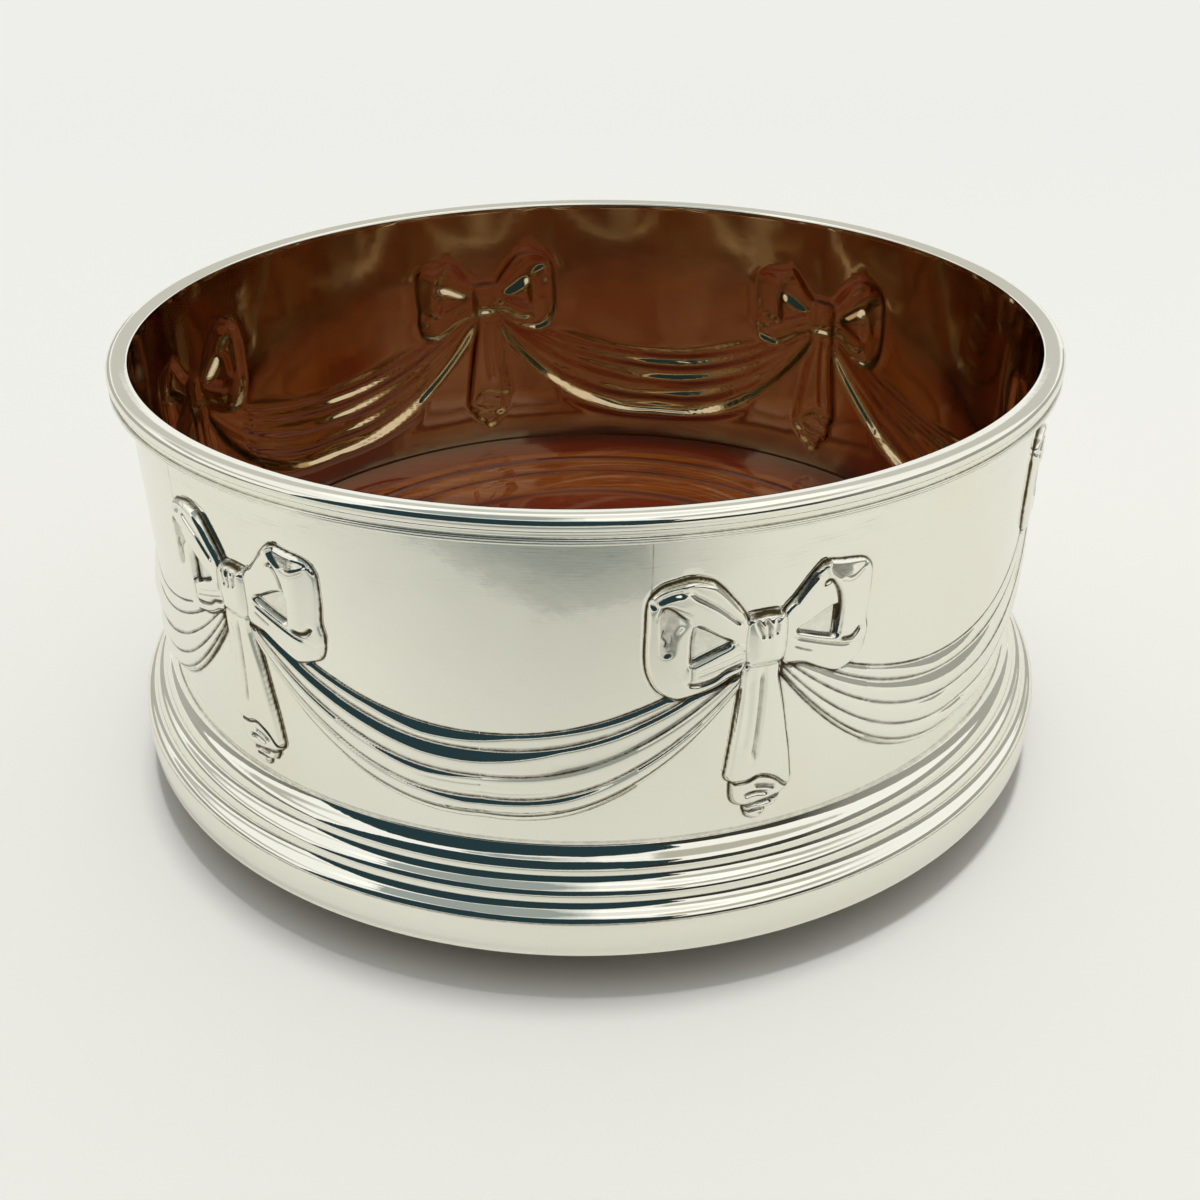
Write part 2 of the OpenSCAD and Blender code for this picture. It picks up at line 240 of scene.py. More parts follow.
def makeRim():
    bore, wall, out, top, low = rimSet["bore"], rimSet["wall"], rimSet["out"], rimTop, rimLow
    profile = [(bore, sheetTop), (bore, top - 0.62)]
    profile += arcPoints((bore + 0.42, top - 0.62), 0.42, 168, 112, 5)
    roll = rimSet["roll"]
    profile += [(bore + 0.62, top - 0.17), (bore + 1.1, top - 0.05), (bore + 1.5, top - 0.01)]
    profile += arcPoints((out - roll, top - roll), roll, 86, -24, 16)
    profile += [(out - 0.22, top - 1.64), (out - 0.25, top - 1.74), (out - 0.25, top - 2.0), (out - 0.26, low + 0.74),
                (out - 0.34, low + 0.69)]
    profile += arcPoints((out - 0.28, low + 0.50), 0.27, 60, -22, 6)
    profile += [(out - 0.09, low + 0.36), (out - 0.03, low + 0.32)]
    profile += arcPoints((out - 0.26, low + 0.25), 0.25, 14, -90, 7)
    profile += [(wall + 0.25, low), (wall, low + 0.02), (wall, sheetTop)]
    piece = keepPiece("rimMoulding", turnProfile(profile, rimSet["steps"]), rimSilver, 60)
    points = np.array([v.co for v in piece.data.vertices]) / mm
    radius, height = np.hypot(points[:, 0], points[:, 1]), points[:, 2]
    seam = np.exp(-((height - low) / 0.12) ** 2) * (radius < wall + 1.4) * 0.45
    seam += 0.3 * np.exp(-((height - low - 0.72) / 0.07) ** 2) + 0.35 * np.exp(-((height - low - 0.36) / 0.035) ** 2)
    keepTarnish(piece, seam * (radius > wall - 0.01))
    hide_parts("rim_moulding")
    return piece


rim = makeRim()
print("rim made")


# spun foot with three steps, a plain band and a lap turned in under the wood
footSet = {"wall": 59.8, "sheet": 0.5, "topDrop": 0.5, "edge": 0.12, "widest": 65.2, "bandTurn": 0.25, "lap": 6.4, "steps": 320,
           # each step: lean of the surface from upright in degrees, with the radius of the arc that leads to it
           "bends": [[(24, 0), (50.8, 3.22), (21, -2.24), (0, -2.06)], [(24, 0), (63.2, 1.886), (21, -1.282), (0, -2.335)],
                      [(24, 0), (64.8, 1.834), (21, -1.445)]]}


def stepLine(start, bends, count=8):
    # hollows have a positive radius and noses a negative one; the surface's lean comes with each point
    line, at = [(start, bends[0][0])], Vector(start)
    for (lean, _), (nextLean, radius) in zip(bends, bends[1:]):
        for i in range(1, count + 1):
            new = lean + (nextLean - lean) * i / count
            a, b = math.radians(lean), math.radians(new)
            line.append(((at.x + radius * (math.cos(a) - math.cos(b)), at.y + radius * (math.sin(a) - math.sin(b))), new))
        at = Vector(line[-1][0])
    return line


def makeFoot():
    s = footSet
    top = footTop - s["topDrop"]
    at, outline, starts = (s["wall"] + s["edge"], top), [], []
    for bends in s["bends"]:
        starts.append(at[1])
        outline += stepLine(at, bends)
        at = outline[-1][0]
    starts.append(at[1])
    swell = s["widest"] - at[0]
    middle = (at[1] + footLow) / 2
    bandRadius = ((at[1] - middle) ** 2 + swell ** 2) / (2 * swell)
    half = math.degrees(math.asin((at[1] - middle) / bandRadius))
    turnCentre = (s["widest"] - 0.12 - s["bandTurn"], footLow + s["bandTurn"])
    lapEdge = s["widest"] - s["lap"]
    profile = [(s["wall"], top + 0.03), (s["wall"] + s["edge"] - 0.04, top + 0.03)] + [point for point, lean in outline]
    profile += arcPoints((s["widest"] - bandRadius, middle), bandRadius, half, -half + 4, 16)
    profile += arcPoints(turnCentre, s["bandTurn"], 0, -90, 8) + [(lapEdge, footLow), (lapEdge, footLow + s["sheet"])]
    profile += [(s["widest"] - 0.12 - s["sheet"], footLow + s["sheet"]), (s["widest"] - s["sheet"], middle)]
    profile += [(point[0] - s["sheet"] * math.cos(math.radians(lean)), point[1] - s["sheet"] * math.sin(math.radians(lean)))
                for point, lean in outline[::-1]]
    profile = [(max(r, s["wall"]) if z > starts[1] else r, z) for r, z in profile]
    piece = keepPiece("reededFoot", turnProfile(profile, s["steps"]), footSilver, 20)
    points = np.array([v.co for v in piece.data.vertices]) / mm
    radius, height = np.hypot(points[:, 0], points[:, 1]), points[:, 2]
    dirt = 0.34 * np.exp(-((height - top) / 0.16) ** 2)
    for start in starts[1:]:
        dirt += 0.5 * np.exp(-((height - start) / 0.08) ** 2)
    dirt += 0.35 * (height < footLow + 0.2)
    keepTarnish(piece, dirt * (radius > s["wall"] - 0.01))
    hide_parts("reeded_foot")
    return piece


foot = makeFoot()
print("foot made")


# embossed gallery: six panels, each with one bow and half a swag on either side, u along the wall and w above the knot, mm
gallerySet = {"radius": 59.8, "sheet": 0.8, "bows": 6, "turns": [17.5, 77.5, 137.5, 197.5, 257.5, 319.5], "knotRise": 25.2, "fine": 0.125, "coarse": 0.4,
              "bowHalf": 13.5, "reliefLow": -25.2, "reliefHigh": 8.2, "thin": 3, "ridge": 0.11}
swagSet = {"drop": 22.2, "depth": 11.3, "folds": [0, 0.18, 0.46, 0.72, 0.92, 1],
           "sag": [2.1, 2.15, 2.2, 2.25, 2.3, 2.3], "gather": 2.1, "open": 0.22, "slope": 0.64, "lift": 0.07,
           "valleys": [0.0, 0.28, 0.72, 0.72, 0.62, 0.02], "falls": [0.62, 0.62, 0.7, 0.6, 0.4],
           # how far each fold's steep upper side runs, mm, from the right knot over mid span (0) to the left knot
           "at": [-1, -0.5, -0.3, -0.12, 0, 0.06, 0.22, 0.43, 1],
           "runs": [[0.35, 0.42, 0.27, 0.27, 0.60, 0.72, 0.87, 0.45, 0.3], [0.3, 0.36, 0.28, 0.72, 1.0, 1.06, 1.06, 0.8, 0.5],
                    [0.1, 0.12, 0.1, 0.1, 0.18, 0.2, 0.55, 0.3, 0.2], [0.2, 0.26, 0.42, 0.38, 0.48, 0.5, 0.28, 0.25, 0.2],
                    [0.08, 0.08, 0.05, 0.05, 0.05, 0.05, 0.1, 0.1, 0.1]]}
# small creases in the folds: fold, share across it, how far to the left and right of mid span, depth
creaseSet = [(2, 0.34, 0.30, 0.05, 0.10), (2, 0.68, 0.10, 0.30, 0.10), (1, 0.82, 0.42, 0.10, 0.05),
             (3, 0.72, 0.2, 0.36, 0.08), (4, 0.45, 0.3, 0.5, 0.08)]
bowSet = {
    "leftOuter": [(-2.07, 2.58), (-3.84, 5.16), (-5.42, 6.94), (-6.5, 7.53), (-7.98, 7.83), (-9.55, 7.53),
                  (-11.1, 7.04), (-12.2, 5.95), (-12.6, 4.66), (-12.7, 2.08), (-12.8, -0.79), (-12.6, -2.88),
                  (-11.9, -4.71), (-11.0, -5.75), (-9.9, -6.34), (-8.82, -6.44), (-5.91, -5.65), (-3.84, -4.56),
                  (-2.17, -3.67), (-1.2, -0.5)],
    "leftHole": [(-7.68, 2.33), (-7.95, 1.4), (-8.02, 0.2), (-8.03, -1.2), (-7.9, -1.95), (-6.9, -1.6), (-5.4, -0.9),
                 (-3.74, -0.02), (-5.2, 0.95), (-6.7, 2.05), (-7.3, 2.45)],
    "leftUpper": [(-2.07, 2.58), (-3.84, 5.16), (-5.42, 6.94), (-6.5, 7.53), (-7.98, 7.83), (-9.55, 7.53),
                  (-11.1, 7.04), (-12.2, 5.95), (-11.4, 5.16), (-10.7, 5.06), (-9.46, 4.46), (-8.27, 3.27),
                  (-7.68, 2.33), (-5.6, 1.2), (-3.74, 0.0), (-1.97, -1.09)],
    "leftPocket": [(-11.3, 4.66), (-10.4, 4.86), (-9.65, 4.46), (-8.87, 3.57), (-8.57, 2.68), (-9.36, 1.49),
                   (-9.75, -0.4), (-10.5, -0.99), (-11.2, -0.69), (-11.4, 0.79)],
    "leftLower": [(-1.97, -0.69), (-3.74, -0.2), (-8.03, -1.98), (-8.18, -4.06), (-6.89, -4.16), (-5.12, -3.67),
                  (-4.14, -2.88), (-1.97, -2.18)],
    "rightOuter": [(1.92, 2.33), (3.45, 4.06), (4.92, 5.95), (6.21, 7.14), (6.99, 7.34), (8.57, 7.04), (10.6, 6.74),
                   (11.8, 6.3), (12.5, 5.45), (12.7, 4.46), (12.7, 1.59), (12.5, -0.79), (12.8, -2.38),
                   (12.6, -4.16), (12.1, -5.25), (11.2, -5.85), (9.8, -6.34), (8.57, -6.44), (6.5, -5.45),
                   (4.24, -4.16), (2.07, -3.57), (1.2, -0.5)],
    "rightHole": [(3.55, 0.0), (4.9, 0.7), (6.4, 1.5), (7.58, 1.94), (8.25, 1.75), (8.35, 0.6), (8.3, -0.7),
                  (8.1, -1.65), (6.8, -1.35), (5.2, -0.75)],
    "rightVert": [(6.5, 7.5), (8.57, 7.3), (10.6, 7.0), (12.2, 6.4), (13.2, 4.46), (13.2, 1.59), (13.2, -2.38),
                  (12.1, -3.47), (11.4, -3.47), (8.87, -2.78), (8.27, -2.28), (8.27, -1.49), (8.37, 0.5),
                  (8.37, 2.08), (7.98, 3.87), (7.19, 5.16), (6.6, 6.2)],
    "rightFacet": [(6.7, 6.6), (7.3, 7.4), (8.6, 7.2), (10.6, 6.9), (12.1, 6.3), (11.3, 5.55), (9.36, 4.76),
                   (7.88, 5.25)],
    "tail": [(-2.17, -2.9), (-2.66, -7.34), (-3.15, -12.0), (-3.64, -16.16), (-3.79, -17.65), (-2.96, -18.44),
             (-1.28, -18.54), (0.2, -18.04), (1.87, -18.74), (3.15, -19.98), (3.9, -20.2), (4.24, -19.63),
             (4.14, -18.54), (3.79, -15.66), (3.25, -12.54), (2.66, -8.92), (1.92, -5.25), (1.58, -2.9)],
    "ruffleOne": [(-2.96, -18.0), (-3.1, -20.32), (-2.66, -21.41), (-1.48, -22.01), (0.49, -21.81), (2.36, -21.41),
                  (3.05, -21.22), (3.79, -20.62), (4.19, -19.93), (3.15, -18.9), (1.87, -18.1), (0.2, -17.5),
                  (-1.28, -17.9)],
    "ruffleTwo": [(-1.58, -21.0), (-1.48, -22.21), (-1.18, -22.8), (0.39, -22.8), (1.38, -22.9), (2.31, -22.7),
                  (2.91, -21.81), (2.96, -20.9), (0.79, -20.9)],
    "ruffleThree": [(-1.28, -22.1), (-1.18, -23.4), (-0.59, -23.99), (0.3, -24.29), (1.08, -23.79), (1.28, -23.1),
                    (0.98, -22.2), (0.0, -22.0)],
    "knot": [(-2.07, 2.18), (-1.48, 2.68), (1.38, 2.68), (2.07, 2.18), (2.22, -0.2), (2.07, -2.48), (1.48, -3.27),
             (-1.38, -3.27), (-2.07, -2.68), (-2.31, -0.3)],
}
# chased lines: points, half width, depth, tarnish
lineSet = [
    ([(-8.5, -4.2), (-7.9, -4.6), (-6.89, -4.6), (-5.42, -4.16), (-4.33, -3.37), (-3.15, -2.97), (-2.07, -2.63)],
     0.24, 0.30, 0.8),
    ([(-7.6, -3.6), (-5.2, -2.9), (-2.2, -1.9)], 0.13, 0.12, 0.5),
    ([(-7.39, -2.88), (-5.12, -2.18), (-2.27, -1.19)], 0.16, 0.12, 0.25),
    ([(-11.3, 4.1), (-10.8, 4.96), (-10.1, 4.76), (-9.36, 4.06), (-8.27, 3.07)], 0.2, 0.22, 0.9),
    ([(-7.68, 2.33), (-7.98, 0.5), (-8.03, -1.88), (-7.98, -3.47), (-8.1, -4.3)], 0.14, 0.2, 0.55),
    ([(-10.9, 2.6), (-11.1, 1.6), (-10.7, 0.9), (-10.9, 0.1)], 0.14, 0.14, 0.8),
    ([(-10.4, 1.9), (-10.1, 1.3), (-10.3, 0.5)], 0.10, 0.08, 0.6),
    ([(-11.6, 3.6), (-11.2, 4.9), (-10.3, 5.2), (-9.2, 4.7), (-8.2, 4.2)], 0.11, 0.10, 0.62),
    ([(6.01, 4.76), (6.7, 5.2), (7.19, 5.16), (7.98, 3.87), (8.37, 2.08), (8.37, 0.5), (8.18, -1.49)], 0.2, 0.3, 0.9),
    ([(2.66, -0.5), (6.01, -1.88), (8.87, -2.97), (10.6, -3.3)], 0.17, 0.24, 0.5),
    ([(8.6, -2.2), (10.1, -2.45), (11.1, -1.9), (11.3, -1.5)], 0.3, 0.34, 0.95),
    ([(3.15, -1.78), (4.24, -2.38), (5.52, -2.97)], 0.16, 0.16, 0.6),
    ([(3.0, 3.2), (4.4, 4.9), (5.7, 6.3)], 0.26, 0.2, 0.55),
    ([(7.88, 5.15), (9.36, 4.66), (10.6, 5.05), (11.5, 5.6)], 0.12, 0.1, 0.4),
    # a hollow fold at the loop's upper corner, and the crease that runs from it to the knot
    ([(-12.2, 4.9), (-11.4, 5.9), (-10.0, 6.5), (-8.7, 6.6)], 0.34, 0.36, 0.2),
    ([(-8.3, 7.0), (-7.7, 6.2), (-6.4, 5.3), (-5.2, 4.4), (-3.7, 3.0), (-2.8, 2.2)], 0.26, 0.3, 0.3),
    ([(-0.2, -3.6), (-0.25, -8.0), (-0.45, -12.0), (-0.8, -15.8)], 0.30, 0.36, 0.44),
    ([(-1.6, -4.3), (-1.6, -9.0), (-2.0, -14.0)], 0.4, 0.14, 0.16),
    ([(-1.3, 2.3), (-1.0, 1.4), (-0.5, 0.3)], 0.22, 0.3, 0.6),
    ([(-0.3, 2.4), (0.0, 1.3), (0.0, 0.2)], 0.2, 0.28, 0.6),
    ([(1.0, 2.3), (0.9, 1.3), (0.8, 0.5)], 0.22, 0.26, 0.45),
    ([(-1.8, 2.5), (0.0, 2.7), (1.7, 2.5)], 0.16, 0.1, 0.9),
    ([(-1.5, -20.5), (-0.2, -20.25), (1.4, -20.6)], 0.26, 0.4, 0.7),
    ([(-0.2, -21.9), (0.9, -21.9), (1.9, -21.7)], 0.2, 0.35, 0.7),
    ([(0.5, -23.3), (0.8, -23.7)], 0.2, 0.3, 0.6),
    ([(-0.4, -19.2), (0.9, -19.5), (2.2, -20.0)], 0.24, 0.3, 0.6),
]


def roundedLine(points, closed=True, steps=5):
    p = np.array(points, float)
    n = len(p)
    line = []
    for i in range(n if closed else n - 1):
        a, b, c, d = (p[(i + j) % n] if closed else p[min(max(i + j, 0), n - 1)] for j in (-1, 0, 1, 2))
        for s in np.arange(steps) / steps:
            line.append(0.5 * (2 * b + (c - a) * s + (2 * a - 5 * b + 4 * c - d) * s * s
                               + (3 * b - a - 3 * c + d) * s ** 3))
    return np.array(line if closed else line + [p[-1]])


def lineDistance(line, u, w, closed):
    starts = line if closed else line[:-1]
    ends = np.roll(line, -1, axis=0) if closed else line[1:]
    best, along = np.full(u.shape, 1e9), np.zeros(u.shape)
    for k, (a, b) in enumerate(zip(starts, ends)):
        d = b - a
        s = np.clip(((u - a[0]) * d[0] + (w - a[1]) * d[1]) / max(d @ d, 1e-12), 0, 1)
        away = np.hypot(u - a[0] - s * d[0], w - a[1] - s * d[1])
        nearer = away < best
        best, along = np.where(nearer, away, best), np.where(nearer, (k + s) / len(starts), along)
    return best, along


def depthInside(name, u, w):
    line = roundedLine(bowSet[name])
    within = np.zeros(u.shape, bool)
    for a, b in zip(line, np.roll(line, -1, axis=0)):
        if a[1] != b[1]:
            within ^= ((a[1] > w) != (b[1] > w)) & (u < (b[0] - a[0]) * (w - a[1]) / (b[1] - a[1]) + a[0])
    away = lineDistance(line, u, w, True)[0]
    return np.where(within, away, -away)


def rollEdge(depth, width, power=2.0):
    return 1 - (1 - np.clip(depth / width, 0, 1)) ** power


def easeStep(depth, width):
    s = np.clip(depth / width + 0.5, 0, 1)
    return s * s * (3 - 2 * s)


def softened(field, passes=1):
    for _ in range(passes):
        for axis in (0, 1):
            ahead_, behind = np.roll(field, -1, axis), np.roll(field, 1, axis)
            field = 0.5 * field + 0.25 * (ahead_ + behind)
    return field


def swagHeights(u, w, half):
    # five folds between six valleys that hang from knot to knot
    s = swagSet
    t = np.clip(1 - np.abs(u) / half, 0, 1)
    lines = [-(s["drop"] - s["depth"] * (1 - f)) * (1 - t ** p) - s["gather"] * f * t for f, p in zip(s["folds"], s["sag"])]
    opened = np.clip((1 - t) / s["open"], 0, 1)
    overall = np.clip((lines[0] - w) / np.maximum(lines[0] - lines[-1], 0.05), 0, 1)
    dome = (0.55 + 0.42 * np.sin(np.pi * overall)) * (1 - opened)
    height, dirt = np.zeros(u.shape), np.zeros(u.shape)
    for k, runs in enumerate(s["runs"]):
        upper, lower = lines[k], lines[k + 1]
        width = np.maximum(upper - lower, 0.05)
        share = (upper - w) / width
        within = (share > 0) & (share <= 1)
        top, low = s["valleys"][k] * opened + dome * 0.86, s["valleys"][k + 1] * opened + dome * 0.86
        run = np.minimum(np.interp(np.where(u > 0, t, -t), s["at"], runs), 0.6 * width)
        down = (upper - w) - 0.12
        rise = s["slope"] * (1 - 0.4 * (1 - opened)) * np.clip(down, 0, run) + s["lift"] * np.clip((down - run) / 0.4, 0, 1)
        y = np.clip((share - s["falls"][k]) / (1 - s["falls"][k]), 0, 1)
        fold = (top + rise) * (1 - y ** 2) + low * y ** 2
        for which, place, left, right, deep in creaseSet:
            if which == k:
                reach = np.where(u > 0, left, right)
                fold = fold - deep * np.exp(-((share - place) * width / 0.13) ** 2) * np.clip((reach - t) / 0.1, 0, 1)
        height = np.where(within, fold, height)
        if k < 4:
            dirt += 0.50 * np.exp(-((w - lower - 0.25) / 0.26) ** 2) * (w > lines[-1] - 0.4)
            dirt += 0.62 * np.exp(-((w - lower - 0.05) / 0.10) ** 2) * (w > lines[-1] - 0.4)
    lean = 1 / np.sqrt(1 + (s["drop"] * 2.2 / half * t ** 1.2) ** 2)
    depth = np.minimum(lines[0] - w, w - lines[-1]) * lean
    dirt = dirt * (depth > -0.3) + 0.92 * np.exp(-((depth + 0.02) / 0.13) ** 2)
    return height, dirt


def bowHeights(u, w, under):
    height, dirt = under
    d = {name: depthInside(name, u, w) for name in bowSet}
    # left loop: a band turned over at the top, with a hollow fold at its outer side
    left = 0.72 * rollEdge(d["leftOuter"], 0.62, 2.2) * rollEdge(-d["leftHole"], 0.45, 2.2)
    left += 0.16 * np.clip(d["leftOuter"] / 2.4, 0, 1)
    left += 0.22 * easeStep(d["leftUpper"], 0.35) - 0.30 * easeStep(d["leftPocket"] - 0.3, 0.9)
    left += 0.14 * easeStep(d["leftLower"], 0.4) - 0.01 * (u + 8) * easeStep(d["leftLower"], 0.4)
    # right loop: the outer band lies over the upper one and falls to the right, with a flat facet at its top
    right = 0.70 * rollEdge(d["rightOuter"], 0.34, 2.2) * rollEdge(-d["rightHole"], 0.45, 2.2)
    right += 0.12 * np.clip(d["rightOuter"] / 2.4, 0, 1)
    right += 0.20 * easeStep(d["rightVert"], 0.3)
    facet = easeStep(d["rightFacet"] - 0.1, 0.3)
    right -= facet * 0.62 * np.clip((w - 4.6 - 0.12 * np.abs(u - 9.4)) / 2.4, 0, 1)
    fall = np.clip((u - 9.2) / 3.6, 0, 1)
    thinned = 0.35 * np.clip(fall * 3 - 2, 0, 1) * (1 - rollEdge(d["rightOuter"], 1.2))
    right = right * (1 - 0.5 * fall * fall * (3 - 2 * fall)) * (1 - thinned)
    for loop, outer, hole in ((left, "leftOuter", "leftHole"), (right, "rightOuter", "rightHole")):
        cover = easeStep(d[outer] - 0.05, 0.2)
        height = height * (1 - cover) + np.maximum(loop, 0) * cover
        dirt *= 1 - easeStep(d[outer] - 0.3, 0.3)
        dirt += 1.0 * np.exp(-((d[outer] + 0.02) / 0.11) ** 2)
        dirt += 0.72 * np.exp(-(d[hole] / 0.11) ** 2) + 0.22 * (d[hole] > 0)
    dirt += 0.34 * easeStep(d["leftPocket"], 0.3) * easeStep(-u - 9.3, 0.4)
    # tail, its hem and the three ruffles under it
    for name, rise, edge in (("ruffleThree", 0.60, 0.5), ("ruffleTwo", 0.68, 0.5), ("ruffleOne", 0.74, 0.6)):
        cover = easeStep(d[name] - 0.03, 0.16)
        height = height * (1 - cover) + rise * rollEdge(d[name], edge) * cover
        dirt = dirt * (1 - cover) + 0.78 * np.exp(-(d[name] / 0.13) ** 2)
    tail = 0.78 * rollEdge(d["tail"], 0.55) + 0.14 * np.clip(d["tail"] / 1.6, 0, 1)
    cover = easeStep(d["tail"] - 0.03, 0.16)
    height = height * (1 - cover) + tail * cover
    dirt = dirt * (1 - cover) + 1.0 * np.exp(-((d["tail"] + 0.02) / 0.11) ** 2)
    # knot
    knot = 0.76 + 0.60 * rollEdge(d["knot"], 1.7, 2.0)
    cover = easeStep(d["knot"] - 0.08, 0.3)
    height = height * (1 - cover) + knot * cover
    dirt = dirt * (1 - cover) + 0.5 * np.exp(-((d["knot"] + 0.03) / 0.11) ** 2)
    for points, half, deep, tarnish in lineSet:
        away, along = lineDistance(roundedLine(points, closed=False), u, w, False)
        taper = np.clip(np.minimum(along, 1 - along) / 0.14, 0.25, 1)
        line = np.exp(-(away / half) ** 2) * taper
        height = height - deep * line
        dirt = np.maximum(dirt, tarnish * line)
    # the outlines are chased into the sheet
    outline = np.maximum.reduce([d["leftOuter"], d["rightOuter"], d["tail"], d["ruffleOne"], d["ruffleTwo"],
                                 d["ruffleThree"], d["knot"]])
    height -= 0.10 * np.exp(-((outline + 0.12) / 0.14) ** 2) * (outline < 0.05)
    dirt += 0.15 * np.exp(-((outline + 0.1) / 0.5) ** 2) * (outline < 0.05)
    # the join of the sheet runs from the rim to the bow's corner
    dirt += 0.55 * np.exp(-((u + 12.1 - 0.02 * (w - 6)) / 0.075) ** 2) * (w > 6.0)
    return height, dirt


def galleryField():
    g = gallerySet
    half = g["radius"] * math.pi / g["bows"]
    knot = footTop + g["knotRise"]
    side = np.linspace(-half + 0.05, -g["bowHalf"], int((half - g["bowHalf"]) / g["coarse"]) + 1)
    middle = np.linspace(-g["bowHalf"], g["bowHalf"], int(2 * g["bowHalf"] / g["fine"]) + 1)
    columns = np.concatenate([[-half], side, middle[1:-1], -side[::-1], [half]])
    low, high = knot + g["reliefLow"], knot + g["reliefHigh"]
    rows = np.concatenate([np.linspace(sheetLow, low, 6)[:-1],
                           np.linspace(low, high, int((high - low) / g["fine"]) + 1),
                           np.linspace(high, sheetTop, 9)[1:]])
    u, z = np.meshgrid(columns, rows)
    height, dirt = swagHeights(u, z - knot, half)
    bow = slice(len(side), len(side) + len(middle))
    height[:, bow], dirt[:, bow] = bowHeights(u[:, bow], z[:, bow] - knot, (height[:, bow], dirt[:, bow]))
    inner = softened(height, 1)
    height[1:-1, 1:-1] = inner[1:-1, 1:-1]
    hollow = softened(height, 10) - height
    dirt = np.clip(np.maximum(dirt, np.clip(hollow * 1.7, 0, 0.45)), 0, 1)
    # grime along the collar and under the rim
    dirt += 0.34 * np.exp(-((z - footTop) / 0.22) ** 2) + 0.25 * np.exp(-((z - rimLow) / 0.15) ** 2)
    ends = (np.abs(u) > half - 0.01) | (z < sheetLow + 0.01) | (z > sheetTop - 0.01)
    height[(z < footTop - 0.2) | (z > rimLow)] = 0
    return columns, rows, height, np.where(ends, 0, dirt)


def makePanels():
    g = gallerySet
    columns, rows, height, dirt = galleryField()
    thin = g["thin"]
    bm = bmesh.new()
    places, marks, rims = [], [], []
    for layer in ("outer", "inner"):
        if layer == "outer":
            cols, rws, field, tarnish = columns, rows, height, dirt
            base = g["radius"]
        else:
            pickC = sorted(set(list(range(0, len(columns), thin)) + [len(columns) - 1]))
            pickR = sorted(set(list(range(0, len(rows), thin)) + [len(rows) - 1]))
            inBow = np.clip((15 - np.abs(columns)) / 4, 0, 1)
            # the back of the sheet keeps the broad forms, and the small folds show there as low ridges
            crisp, broad = softened(height, 5), softened(height, 60)
            ridges = softened(np.clip(crisp - broad, -g["ridge"], g["ridge"]), 4)
            blurred = (0.45 + 0.35 * inBow) * broad + ridges * (3.2 - 2.3 * inBow)
            cols, rws = columns[pickC], rows[pickR]
            field = blurred[np.ix_(pickR, pickC)]
            tarnish = 0.35 * dirt[np.ix_(pickR, pickC)]
            base = g["radius"] - g["sheet"]
        made = bmesh.ops.create_grid(bm, x_segments=len(cols) - 1, y_segments=len(rws) - 1, size=1.0)
        for v in made["verts"]:
            j = round((v.co.x + 1) / 2 * (len(cols) - 1))
            i = round((v.co.y + 1) / 2 * (len(rws) - 1))
            angle = cols[j] / g["radius"]
            r = (base + field[i, j]) * mm
            v.co = (r * math.sin(angle), -r * math.cos(angle), rws[i] * mm)
            places.append((cols[j], rws[i], layer))
            marks.append(tarnish[i, j])
        bm.verts.index_update()
        grid = set(made["verts"])
        rims += [e for e in bm.edges if e.is_boundary and e.verts[0] in grid]
    bmesh.ops.bridge_loops(bm, edges=rims)
    bmesh.ops.recalc_face_normals(bm, faces=bm.faces)
    half = columns[-1]
    first = keepPiece("galleryPanel1", bm, gallerySilver, 55)
    keepTarnish(first, marks)
    spots = np.array([((c + half) / (2 * half), r / 120 + (0.0 if k == "outer" else 0.5)) for c, r, k in places], np.float32)
    corners = np.zeros(len(first.data.loops), np.int32)
    first.data.loops.foreach_get("vertex_index", corners)
    uv = first.data.uv_layers.new(name="UVMap")
    uv.data.foreach_set("uv", spots[corners].ravel())
    rest = np.zeros(len(first.data.vertices) * 3)
    first.data.vertices.foreach_get("co", rest)
    rest = rest.reshape(-1, 3)
    angles, radii = np.degrees(np.arctan2(rest[:, 0], -rest[:, 1])), np.hypot(rest[:, 0], rest[:, 1])
    turns, panels = g["turns"], []
    for n, turn in enumerate(turns):
        # each panel reaches to mid span on either side; only its swags stretch
        left = (turn - turns[n - 1]) % 360 / 2
        right = (turns[(n + 1) % len(turns)] - turn) % 360 / 2
        reach = np.where(angles < 0, left, right)
        swung = np.sign(angles) * np.where(np.abs(angles) > 13, 13 + (np.abs(angles) - 13) * (reach - 13) / (180 / g["bows"] - 13),
                                           np.abs(angles))
        swung = np.radians(swung + turn)
        mesh = first.data if n == 0 else first.data.copy()
        mesh.vertices.foreach_set("co", np.stack([radii * np.sin(swung), -radii * np.cos(swung), rest[:, 2]], 1).ravel())
        mesh.update()
        panel = first
        if n:
            panel = bpy.data.objects.new(f"galleryPanel{n + 1}", mesh)
            bpy.context.scene.collection.objects.link(panel)
            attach(panel, "root")
        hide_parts("gallery")
        panels.append(panel)
    return panels


panels = makePanels()
print("gallery panels made:", len(panels), "of", len(panels[0].data.polygons), "faces")


# turned base of lacquered mahogany
woodSet = {"foot": 58.6, "flange": 63.9, "flangeTop": 10.2, "shoulder": 60.4, "plug": 58.8, "round": 1.2,
           "groove": 48.1, "grooveHalf": 0.9, "line": 42.6, "lineHalf": 0.4, "dish": 34.7, "dishDeep": 0.5,
           "dark": (0.022, 0.004, 0.002), "red": (0.125, 0.010, 0.003), "amber": (0.26, 0.066, 0.006), "steps": 192}


